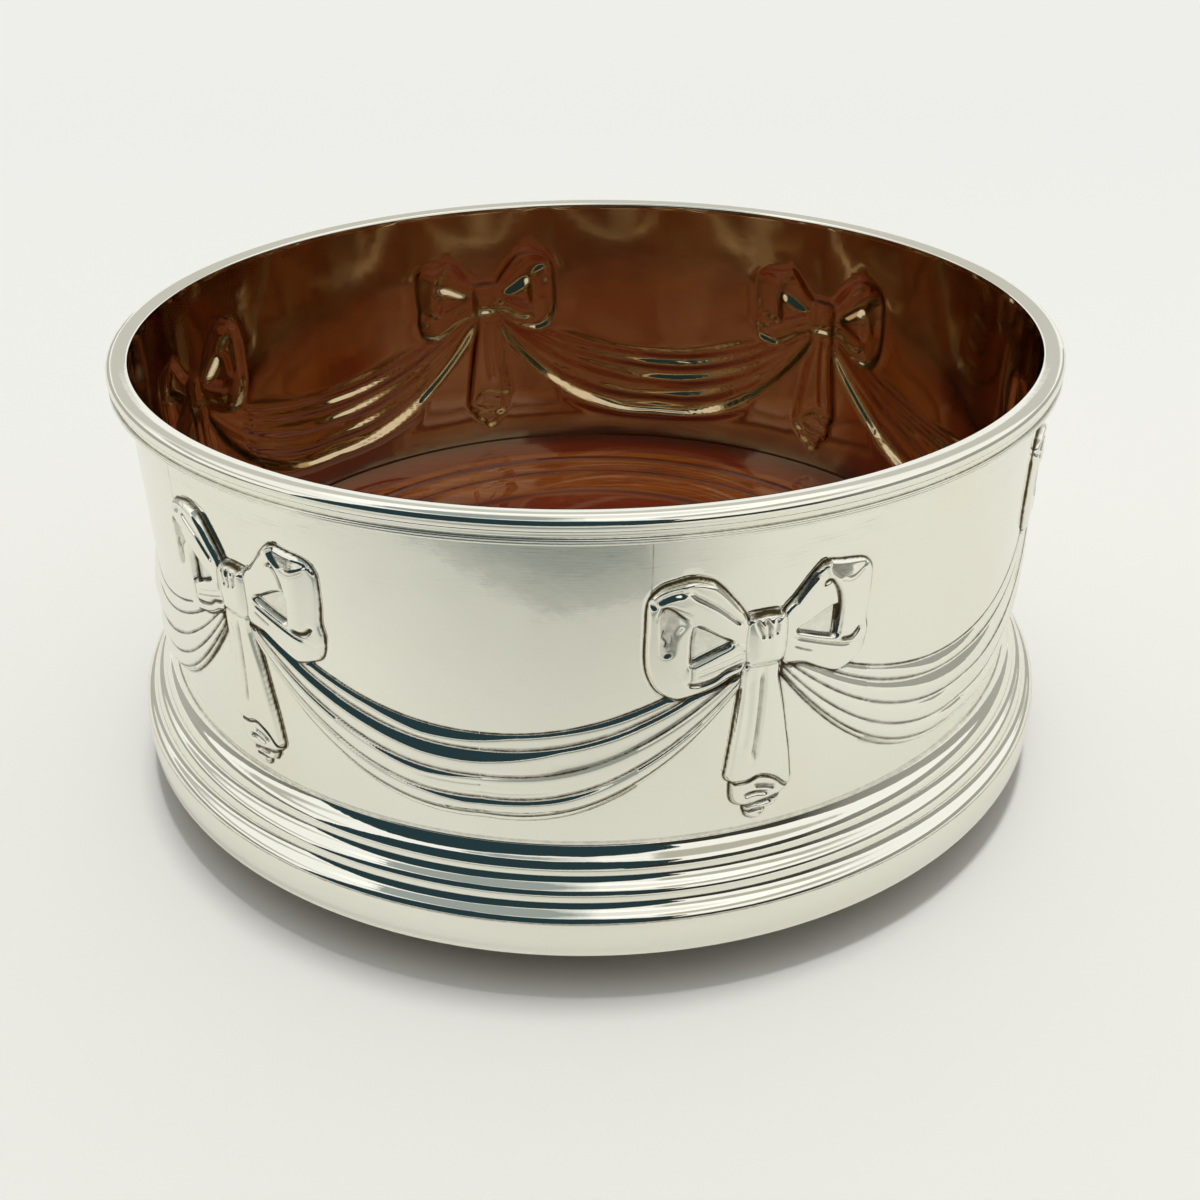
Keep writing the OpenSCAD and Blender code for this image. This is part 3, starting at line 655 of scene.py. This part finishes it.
def woodFinish():
    finish, tree, shader = newFinish("lacqueredMahogany")
    place = addNode(tree, "ShaderNodeTexCoord").outputs["Object"]
    parts = addNode(tree, "ShaderNodeSeparateXYZ")
    tree.links.new(place, parts.inputs[0])
    out = doMath(tree, "SQRT", doMath(tree, "ADD", doMath(tree, "MULTIPLY", parts.outputs[0], parts.outputs[0]),
                                      doMath(tree, "MULTIPLY", parts.outputs[1], parts.outputs[1])))
    warp = noiseOn(tree, place, 22, 3, 0.5, stretch=(0.35, 1, 1))
    grainAt = doMath(tree, "ADD", parts.outputs[1], doMath(tree, "MULTIPLY", warp, 0.018))
    grainPlace = addNode(tree, "ShaderNodeCombineXYZ")
    tree.links.new(doMath(tree, "MULTIPLY", parts.outputs[0], 0.06), grainPlace.inputs[0])
    tree.links.new(grainAt, grainPlace.inputs[1])
    tree.links.new(doMath(tree, "MULTIPLY", parts.outputs[2], 0.06), grainPlace.inputs[2])
    bands = noiseOn(tree, grainPlace.outputs[0], 210, 4, 0.6)
    pores = noiseOn(tree, grainPlace.outputs[0], 1900, 3, 0.6)
    tint = mixColours(tree, stretchRange(tree, bands, 0.35, 0.68), woodSet["red"], woodSet["amber"])
    tint = mixColours(tree, stretchRange(tree, pores, 0.58, 0.74, 0, 0.6), tint, woodSet["dark"])
    # turned rings are darker where the stain has gathered
    rings = noiseOn(tree, addRing(tree, out), 520, 3, 0.6)
    tint = mixColours(tree, stretchRange(tree, rings, 0.52, 0.78, 0, 0.55), tint, woodSet["dark"])
    for radius, half in ((woodSet["groove"], 1.0), (woodSet["line"], 0.5), (woodSet["dish"], 0.6), (woodSet["plug"], 1.3)):
        away = doMath(tree, "ABSOLUTE", doMath(tree, "SUBTRACT", out, radius * mm))
        tint = mixColours(tree, stretchRange(tree, away, 0.0, half * mm, 0.85, 0.0), tint, woodSet["dark"])
    inside = stretchRange(tree, out, (woodSet["dish"] - 0.6) * mm, (woodSet["dish"] + 0.4) * mm, 0.55, 0.0)
    tint = mixColours(tree, inside, tint, woodSet["red"])
    # painted shade: the wood turns a darker red in its outer ring, where the silver wall stands over it
    edge = stretchRange(tree, out, (woodSet["groove"] + 2.2) * mm, (woodSet["groove"] + 3.2) * mm, 0.0, 0.8)
    tint = mixColours(tree, edge, tint, (0.095, 0.006, 0.002))
    tree.links.new(tint, shader.inputs["Base Color"])
    tree.links.new(stretchRange(tree, pores, 0.4, 0.8, 0.30, 0.45), shader.inputs["Roughness"])
    shader.inputs["Specular IOR Level"].default_value = 0.15
    shader.inputs["Coat Weight"].default_value = 0.75
    shader.inputs["Coat Roughness"].default_value = 0.025
    shader.inputs["Coat IOR"].default_value = 1.46
    ring = addBump(tree, shader, rings, 0.000012)
    tree.links.new(ring, shader.inputs["Coat Normal"])
    addBump(tree, shader, pores, 0.00002, before=ring)
    return finish


def addRing(tree, out):
    made = addNode(tree, "ShaderNodeCombineXYZ")
    tree.links.new(out, made.inputs[0])
    return made.outputs[0]


def makeWood():
    s = woodSet
    profile = [(0, woodLow)] + arcPoints((s["foot"] - s["round"], woodLow + s["round"]), s["round"], -90, 0, 8)
    profile += [(s["foot"], footLow + 0.6), (s["flange"], footLow + 0.6), (s["flange"], s["flangeTop"]),
                (s["shoulder"], s["flangeTop"]), (s["shoulder"], sheetLow), (s["plug"], sheetLow),
                (s["plug"], woodTop - 0.25), (s["plug"] - 0.25, woodTop)]
    for centre, half in ((s["groove"], s["grooveHalf"]), (s["line"], s["lineHalf"])):
        profile += [(centre + half + 0.25, woodTop), (centre + half + 0.05, woodTop - 0.05)]
        profile += [(centre + half * math.cos(a), woodTop - half * math.sin(a))
                    for a in (math.radians(10 + 16 * i) for i in range(11))]
        profile += [(centre - half - 0.05, woodTop - 0.05), (centre - half - 0.25, woodTop)]
    profile += [(s["dish"] + 0.9, woodTop), (s["dish"] + 0.4, woodTop - 0.08), (s["dish"] - 0.4, woodTop - s["dishDeep"] + 0.08),
                (s["dish"] - 0.9, woodTop - s["dishDeep"]), (0, woodTop - s["dishDeep"])]
    bm = turnProfile(profile, s["steps"], closed=False)
    piece = keepPiece("turnedBase", bm, woodFinish(), 38)
    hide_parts("wood_base")
    return piece


wood = makeWood()
print("wooden base made")


# small brass pins through the lap
pinSet = {"count": 6, "turn": 47.5, "ring": 61.35, "shank": 0.6, "long": 3.8, "head": 1.1, "thick": 0.45}


def brassFinish():
    finish, tree, shader = newFinish("brassPin")
    place = addNode(tree, "ShaderNodeTexCoord").outputs["Object"]
    dull = stretchRange(tree, noiseOn(tree, place, 900, 4, 0.6), 0.4, 0.7)
    tree.links.new(mixColours(tree, dull, (0.72, 0.47, 0.16), (0.36, 0.22, 0.07)), shader.inputs["Base Color"])
    shader.inputs["Metallic"].default_value = 1
    tree.links.new(stretchRange(tree, dull, 0, 1, 0.22, 0.5), shader.inputs["Roughness"])
    addBump(tree, shader, noiseOn(tree, place, 3000, 2, 0.5), 0.00001)
    return finish


def makePins():
    s = pinSet
    profile = [(0, footLow + s["long"]), (s["shank"], footLow + s["long"]), (s["shank"], footLow), (s["head"], footLow)]
    profile += [(s["head"] * math.cos(a), footLow - s["thick"] * math.sin(a))
                for a in (math.radians(15 * i) for i in range(1, 7))]
    whole = bmesh.new()
    for n in range(s["count"]):
        one = turnProfile(profile[:-1] + [(0, footLow - s["thick"])], 24, closed=False)
        angle = math.radians(s["turn"] + 360 / s["count"] * n)
        bmesh.ops.translate(one, verts=one.verts, vec=(s["ring"] * mm * math.sin(angle), -s["ring"] * mm * math.cos(angle), 0))
        part = bpy.data.meshes.new("onePin")
        one.to_mesh(part)
        one.free()
        whole.from_mesh(part)
        bpy.data.meshes.remove(part)
    piece = keepPiece("brassPins", whole, brassFinish(), 35)
    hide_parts("base_pins")
    return piece


pins = makePins()
print("pins made")


# baize pad glued under the wood
baizeSet = {"radius": 57.0, "soft": 0.35, "steps": 180, "rings": 22, "green": (0.020, 0.055, 0.030), "light": (0.05, 0.11, 0.06)}


def baizeFinish():
    finish, tree, shader = newFinish("greenBaize")
    place = addNode(tree, "ShaderNodeTexCoord").outputs["Object"]
    fibres = noiseOn(tree, place, 2600, 5, 0.7)
    nap = noiseOn(tree, place, 160, 3, 0.6)
    tint = mixColours(tree, stretchRange(tree, fibres, 0.3, 0.75), baizeSet["green"], baizeSet["light"])
    tint = mixColours(tree, stretchRange(tree, nap, 0.45, 0.8, 0, 0.4), tint, (0.030, 0.042, 0.026))
    tree.links.new(tint, shader.inputs["Base Color"])
    shader.inputs["Roughness"].default_value = 0.95
    shader.inputs["Sheen Weight"].default_value = 0.45
    shader.inputs["Sheen Roughness"].default_value = 0.4
    addBump(tree, shader, fibres, 0.00025)
    return finish


def makeBaize():
    s = baizeSet
    profile = [(0, padTop)] + [(s["radius"] * i / s["rings"], padTop) for i in range(1, s["rings"])]
    profile += [(s["radius"] - 0.02, padTop), (s["radius"], padTop - 0.2), (s["radius"], s["soft"])]
    profile += arcPoints((s["radius"] - s["soft"], s["soft"]), s["soft"], 0, -90, 4)[1:]
    profile += [(s["radius"] * i / s["rings"], 0) for i in range(s["rings"] - 1, 0, -1)] + [(0, 0)]
    piece = keepPiece("baizePad", turnProfile(profile, s["steps"], closed=False), baizeFinish(), 60)
    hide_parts("baize_pad")
    return piece


baize = makeBaize()
print("baize made")


# pale floor, soft light, and what the polished metal mirrors: a dark card in front and the floor's own shade beside it
# under: a painted shadow on the floor beneath and just round the foot
stageSet = {"near": (0.948, 0.936, 0.896), "far": (0.880, 0.887, 0.862), "under": (0.46, 0.44, 0.38), "half": 3.0,
            "mirroredFloorShade": (0.94, 0.935, 0.91),
            "world": 0.66, "sun": 1.20, "sunAngle": 6, "sunTilt": (2.0, -5.0),
            # the sky by the sine of its height: what metal mirrors, and what lights the scene
            "mirrored": [(0.0, 0.93), (0.45, 1.0), (0.80, 0.96), (0.86, 1.16), (0.935, 1.16), (0.955, 0.92), (1.0, 0.84)],
            "shining": [(0.0, 0.30), (0.35, 0.60), (0.70, 1.02), (1.0, 1.08)],
            # grey parts of the room, by bearing and height in degrees: the slant moves the left edge over with height
            "patches": [{"left": -66, "right": 0, "low": 50, "high": 86, "slant": 1.7, "ragged": 30, "colour": (0.33, 0.37, 0.36)},
                        {"left": 16, "right": 86, "low": 40, "high": 60, "slant": 0, "ragged": 22, "colour": (0.50, 0.48, 0.41)},
                        {"left": -128, "right": -62, "low": 24, "high": 36, "slant": 0, "ragged": 22, "colour": (0.50, 0.49, 0.44)},
                        {"left": 122, "right": 200, "low": 14, "high": 54, "slant": 0, "ragged": 24, "colour": (0.60, 0.59, 0.54)},
                        {"left": -202, "right": -122, "low": 14, "high": 54, "slant": 0, "ragged": 24, "colour": (0.60, 0.59, 0.54)}]}
# cards: lower and upper edge in degrees above the floor's level, and how pale, by the bearing round the upright axis
cardSet = {
    "darkCard": {"radius": 0.60, "rise": 0.03, "ragged": 0.30, "shades": True, "dark": (0.020, 0.043, 0.052), "pale": (0.5, 0.5, 0.5),
                 "edge": [(-63, 0, 6), (-58, 0, 24), (-53, 0, 38), (-45, 0, 44), (-33, 0, 46), (-22, 1, 46), (-10, 2, 45), (0, 3, 45),
                          (8, 4, 42), (11, 8, 39), (16, 16, 34), (20.5, 26, 28)], "tone": [(0, 0)]},
    "lowCard": {"radius": 0.64, "rise": 0.03, "ragged": 0.35, "shades": False, "dark": (0.022, 0.020, 0.014), "pale": (0.62, 0.61, 0.56),
                "edge": [(-150, 0, 12), (-110, 0, 16), (-85, 0, 13), (-70, 0, 8), (-60, 0, 4), (6, 0, 2), (9, 0, 12), (14, 0, 18),
                         (50, 0, 18), (64, 0, 22), (90, 0, 20), (115, 0, 16), (140, 0, 8)],
                "tone": [(-150, 0.8), (-110, 0.68), (-85, 0.45), (-65, 0.2), (0, 0), (46, 0.05), (60, 0.4), (80, 0.55), (140, 0.75)]}}
# the darker table beyond the white cloth in front: the cloth's edge as (x, y) in mm
shadeSet = {"colour": (0.20, 0.225, 0.205), "rows": [-64, -52, -40, -28, -16, -8, -4, -2, 0, 1, 2, 3, 5, 8, 14, 24, 40, 80, 160], "columns": 180,
            "edge": [(-300, -119), (-150, -127), (-96, -133.3), (-85, -137.9), (-68, -140.8), (-53.6, -139.9), (-40.7, -139.7),
                     (-28.5, -138.3), (-17.2, -137.2), (-6.4, -137.6), (4.4, -139.5), (13.5, -141.8), (22.4, -140.6), (29, -138),
                     (130, -130)],
            # how much of the shade is left, by x in mm: the step at 30 is where the gallery's seam bends the picture
            "side": [(-300, 0.2), (-150, 0.45), (-110, 0.7), (-90, 0.85), (-60, 1), (15, 1), (29, 0.9), (31, 0.7), (48, 0.45),
                     (85, 0.12), (130, 0)]}


def keepStage(name, bm, finish):
    mesh = bpy.data.meshes.new(name)
    bm.to_mesh(mesh)
    bm.free()
    mesh.materials.append(finish)
    thing = bpy.data.objects.new(name, mesh)
    bpy.context.scene.collection.objects.link(thing)
    return thing


def seeThroughGlow(name, colour):
    # a glow that gives way to clear where its cover is low
    finish, tree, shader = newFinish(name)
    tree.nodes.remove(shader)
    glow = addNode(tree, "ShaderNodeEmission", {"Color": (*colour, 1), "Strength": 1.0})
    mix = addNode(tree, "ShaderNodeMixShader")
    tree.links.new(addNode(tree, "ShaderNodeBsdfTransparent").outputs[0], mix.inputs[1])
    tree.links.new(glow.outputs[0], mix.inputs[2])
    tree.links.new(mix.outputs[0], tree.nodes["Material Output"].inputs["Surface"])
    return finish, tree, mix.inputs[0]


def makeFloor():
    bm = bmesh.new()
    bmesh.ops.create_grid(bm, x_segments=1, y_segments=1, size=stageSet["half"])
    finish, tree, shader = newFinish("paleFloor")
    parts = addNode(tree, "ShaderNodeSeparateXYZ")
    tree.links.new(addNode(tree, "ShaderNodeTexCoord").outputs["Object"], parts.inputs[0])
    # painted light: the floor's colour runs from paler in front, where the dark card shades it, to darker far off
    away = stretchRange(tree, parts.outputs[1], -0.1, 0.45)
    x, y = parts.outputs[0], parts.outputs[1]
    out = doMath(tree, "SQRT", doMath(tree, "ADD", doMath(tree, "MULTIPLY", x, x), doMath(tree, "MULTIPLY", y, y)))
    plain = mixColours(tree, away, stageSet["near"], stageSet["far"])
    # painted shadow: the floor is darker and warmer beneath and just round the foot
    whole = mixColours(tree, stretchRange(tree, out, 0.055, 0.066), stageSet["under"], plain)
    # painted shade: polished metal mirrors the cloth in front a little darker than it looks, for the shadow that falls
    # on it from the front
    glossy = addNode(tree, "ShaderNodeLightPath").outputs["Is Glossy Ray"]
    tree.links.new(mixColours(tree, glossy, whole, mixColours(tree, 1.0, whole, stageSet["mirroredFloorShade"], "MULTIPLY")),
                   shader.inputs["Base Color"])
    shader.inputs["Roughness"].default_value = 1
    shader.inputs["Specular IOR Level"].default_value = 0
    return keepStage("floor", bm, finish)


def makeCard(name, rows=14):
    s = cardSet[name]
    bm = bmesh.new()
    verts = [bm.verts.new((0, -s["radius"], i / rows)) for i in range(rows + 1)]
    edges = [bm.edges.new(pair) for pair in zip(verts, verts[1:])]
    first, last = s["edge"][0][0], s["edge"][-1][0]
    bmesh.ops.rotate(bm, verts=verts, cent=(0, 0, 0), matrix=Matrix.Rotation(math.radians(first), 3, "Z"))
    bmesh.ops.spin(bm, geom=verts + edges, axis=(0, 0, 1), cent=(0, 0, 0), dvec=(0, 0, 0),
                   angle=math.radians(last - first), steps=round(last - first))
    places, lows, highs = zip(*s["edge"])
    shares, tones = [v.co.z for v in bm.verts], []
    for v in bm.verts:
        around = math.degrees(math.atan2(v.co.x, -v.co.y))
        low, high = (math.tan(math.radians(np.interp(around, places, edge))) for edge in (lows, highs))
        v.co.z = s["rise"] + s["radius"] * (low + v.co.z * (high - low))
        tones.append(np.interp(around, *zip(*s["tone"])))
    finish, tree, cover = seeThroughGlow(name, s["dark"])
    read = [addNode(tree, "ShaderNodeAttribute", attribute_name=kind).outputs["Fac"] for kind in ("share", "tone")]
    tree.links.new(mixColours(tree, read[1], s["dark"], s["pale"]), tree.nodes["Emission"].inputs["Color"])
    place = addNode(tree, "ShaderNodeTexCoord").outputs["Object"]
    ragged = doMath(tree, "SUBTRACT", noiseOn(tree, place, 7, 3, 0.6, stretch=(1, 1, 0.5)), 0.5)
    away = doMath(tree, "ADD", doMath(tree, "SUBTRACT", 1.0, read[0]), doMath(tree, "MULTIPLY", ragged, s["ragged"]))
    tree.links.new(stretchRange(tree, away, 0.0, 0.05), cover)
    card = keepStage(name, bm, finish)
    for kind, values in (("share", shares), ("tone", tones)):
        card.data.attributes.new(kind, "FLOAT", "POINT").data.foreach_set("value", values)
    card.visible_camera = card.visible_transmission = card.visible_volume_scatter = False
    card.visible_diffuse, card.visible_shadow = s["shades"], False
    return card


def makeShade():
    # the table in front, out of the picture, is darker than the cloth, and a painted shade darkens the cloth before its
    # edge: the upper wall mirrors both
    s = shadeSet
    bm = bmesh.new()
    grid = bmesh.ops.create_grid(bm, x_segments=s["columns"], y_segments=len(s["rows"]) - 1, size=1.0)["verts"]
    xs, ys = zip(*s["edge"])
    for v in grid:
        past = s["rows"][round((v.co.y + 1) / 2 * (len(s["rows"]) - 1))]
        x = xs[0] + (xs[-1] - xs[0]) * (v.co.x + 1) / 2
        v.co = (x * mm, (np.interp(x, xs, ys) - past) * mm, 0.0004)
    pasts = np.interp([v.co.x / mm for v in grid], xs, ys) * mm - np.array([v.co.y for v in grid])
    bmesh.ops.recalc_face_normals(bm, faces=bm.faces)
    finish, tree, cover = seeThroughGlow("floorShade", s["colour"])
    place = addNode(tree, "ShaderNodeTexCoord").outputs["Object"]
    past = addNode(tree, "ShaderNodeAttribute", attribute_name="past").outputs["Fac"]
    wisp = doMath(tree, "MULTIPLY", doMath(tree, "SUBTRACT", noiseOn(tree, place, 60, 5, 0.65, stretch=(1, 2.5, 1)), 0.5), 0.008)
    past = doMath(tree, "ADD", past, wisp)
    # painted shade: the cloth darkens softly towards its edge, seen only in the metal
    soft = stretchRange(tree, past, -0.064, 0.0, 0.0, 0.34)
    table = doMath(tree, "ADD", stretchRange(tree, past, 0.0, 0.002, 0.0, 0.18), stretchRange(tree, past, 0.0, 0.018, 0.0, 0.30))
    # a darker line where the cloth's edge throws its shadow
    line = doMath(tree, "MULTIPLY", stretchRange(tree, past, -0.0015, 0.0003, 0.0, 1.0), stretchRange(tree, past, 0.0003, 0.003, 1.0, 0.0))
    line = doMath(tree, "MULTIPLY", line, stretchRange(tree, noiseOn(tree, place, 240, 3, 0.6, stretch=(0.3, 1, 1)), 0.35, 0.65, 0.05, 0.34))
    side = addNode(tree, "ShaderNodeAttribute", attribute_name="side").outputs["Fac"]
    tree.links.new(doMath(tree, "MULTIPLY", doMath(tree, "ADD", doMath(tree, "ADD", soft, table), line), side), cover)
    sides = np.interp([v.co.x / mm for v in grid], *zip(*s["side"]))
    shade = keepStage("floorShade", bm, finish)
    for kind, values in (("past", pasts), ("side", sides)):
        shade.data.attributes.new(kind, "FLOAT", "POINT").data.foreach_set("value", values)
    shade.visible_camera = shade.visible_diffuse = shade.visible_shadow = False
    shade.visible_transmission = shade.visible_volume_scatter = False
    return shade


def makeLight():
    sunData = bpy.data.lights.new("softSun", "SUN")
    sunData.energy = stageSet["sun"]
    sunData.angle = math.radians(stageSet["sunAngle"])
    sun = bpy.data.objects.new("softSun", sunData)
    sun.rotation_euler = (math.radians(stageSet["sunTilt"][1]), math.radians(stageSet["sunTilt"][0]), 0)
    sun.visible_glossy = False
    bpy.context.scene.collection.objects.link(sun)
    world = bpy.data.worlds.new("softRoom")
    bpy.context.scene.world = world
    world.use_nodes = True
    tree = world.node_tree
    background = tree.nodes["Background"]
    aim = addNode(tree, "ShaderNodeTexCoord")
    parts = addNode(tree, "ShaderNodeSeparateXYZ")
    tree.links.new(aim.outputs["Generated"], parts.inputs[0])
    ramps = []
    for stops in (stageSet["mirrored"], stageSet["shining"]):
        ramp = addNode(tree, "ShaderNodeValToRGB")
        while len(ramp.color_ramp.elements) < len(stops):
            ramp.color_ramp.elements.new(0.5)
        for element, (place, grey) in zip(ramp.color_ramp.elements, stops):
            element.position = place
            element.color = (grey, grey, grey * 0.97, 1)
        tree.links.new(parts.outputs[2], ramp.inputs[0])
        ramps.append(ramp.outputs[0])
    # shaded parts of the room, which only polished metal shows
    forth = doMath(tree, "MULTIPLY", parts.outputs[1], -1.0)
    bearing = doMath(tree, "MULTIPLY", doMath(tree, "ARCTAN2", parts.outputs[0], forth), 180 / math.pi)
    height = doMath(tree, "MULTIPLY", doMath(tree, "ARCSINE", parts.outputs[2]), 180 / math.pi)
    cloud = doMath(tree, "SUBTRACT", noiseOn(tree, aim.outputs["Generated"], 7, 3, 0.6), 0.5)
    for patch in stageSet["patches"]:
        edge = doMath(tree, "MULTIPLY", doMath(tree, "SUBTRACT", height, patch["low"]), patch["slant"])
        edge = doMath(tree, "ADD", edge, doMath(tree, "MULTIPLY", cloud, patch["ragged"]))
        tall = doMath(tree, "ADD", height, doMath(tree, "MULTIPLY", cloud, patch["ragged"] / 3))
        share = stretchRange(tree, doMath(tree, "ADD", bearing, edge), patch["left"], patch["left"] + 6)
        share = doMath(tree, "MULTIPLY", share, stretchRange(tree, bearing, patch["right"] - 16, patch["right"] + 2, 1, 0))
        share = doMath(tree, "MULTIPLY", share, stretchRange(tree, tall, patch["low"], patch["low"] + 3))
        share = doMath(tree, "MULTIPLY", share, stretchRange(tree, tall, patch["high"] - 4, patch["high"], 1, 0))
        ramps[0] = mixColours(tree, share, ramps[0], patch["colour"])
    path = addNode(tree, "ShaderNodeLightPath")
    mirrored = doMath(tree, "MAXIMUM", path.outputs["Is Glossy Ray"], path.outputs["Is Transmission Ray"])
    plain = mixColours(tree, path.outputs["Is Camera Ray"], ramps[1], (1, 1, 1))
    tree.links.new(mixColours(tree, mirrored, plain, ramps[0]), background.inputs["Color"])
    seen = doMath(tree, "MAXIMUM", mirrored, path.outputs["Is Camera Ray"])
    tree.links.new(stretchRange(tree, seen, 0, 1, stageSet["world"], 1.0), background.inputs["Strength"])


floor = makeFloor()
cards = [makeCard(name) for name in cardSet]
shade = makeShade()
makeLight()
print("stage and light made")
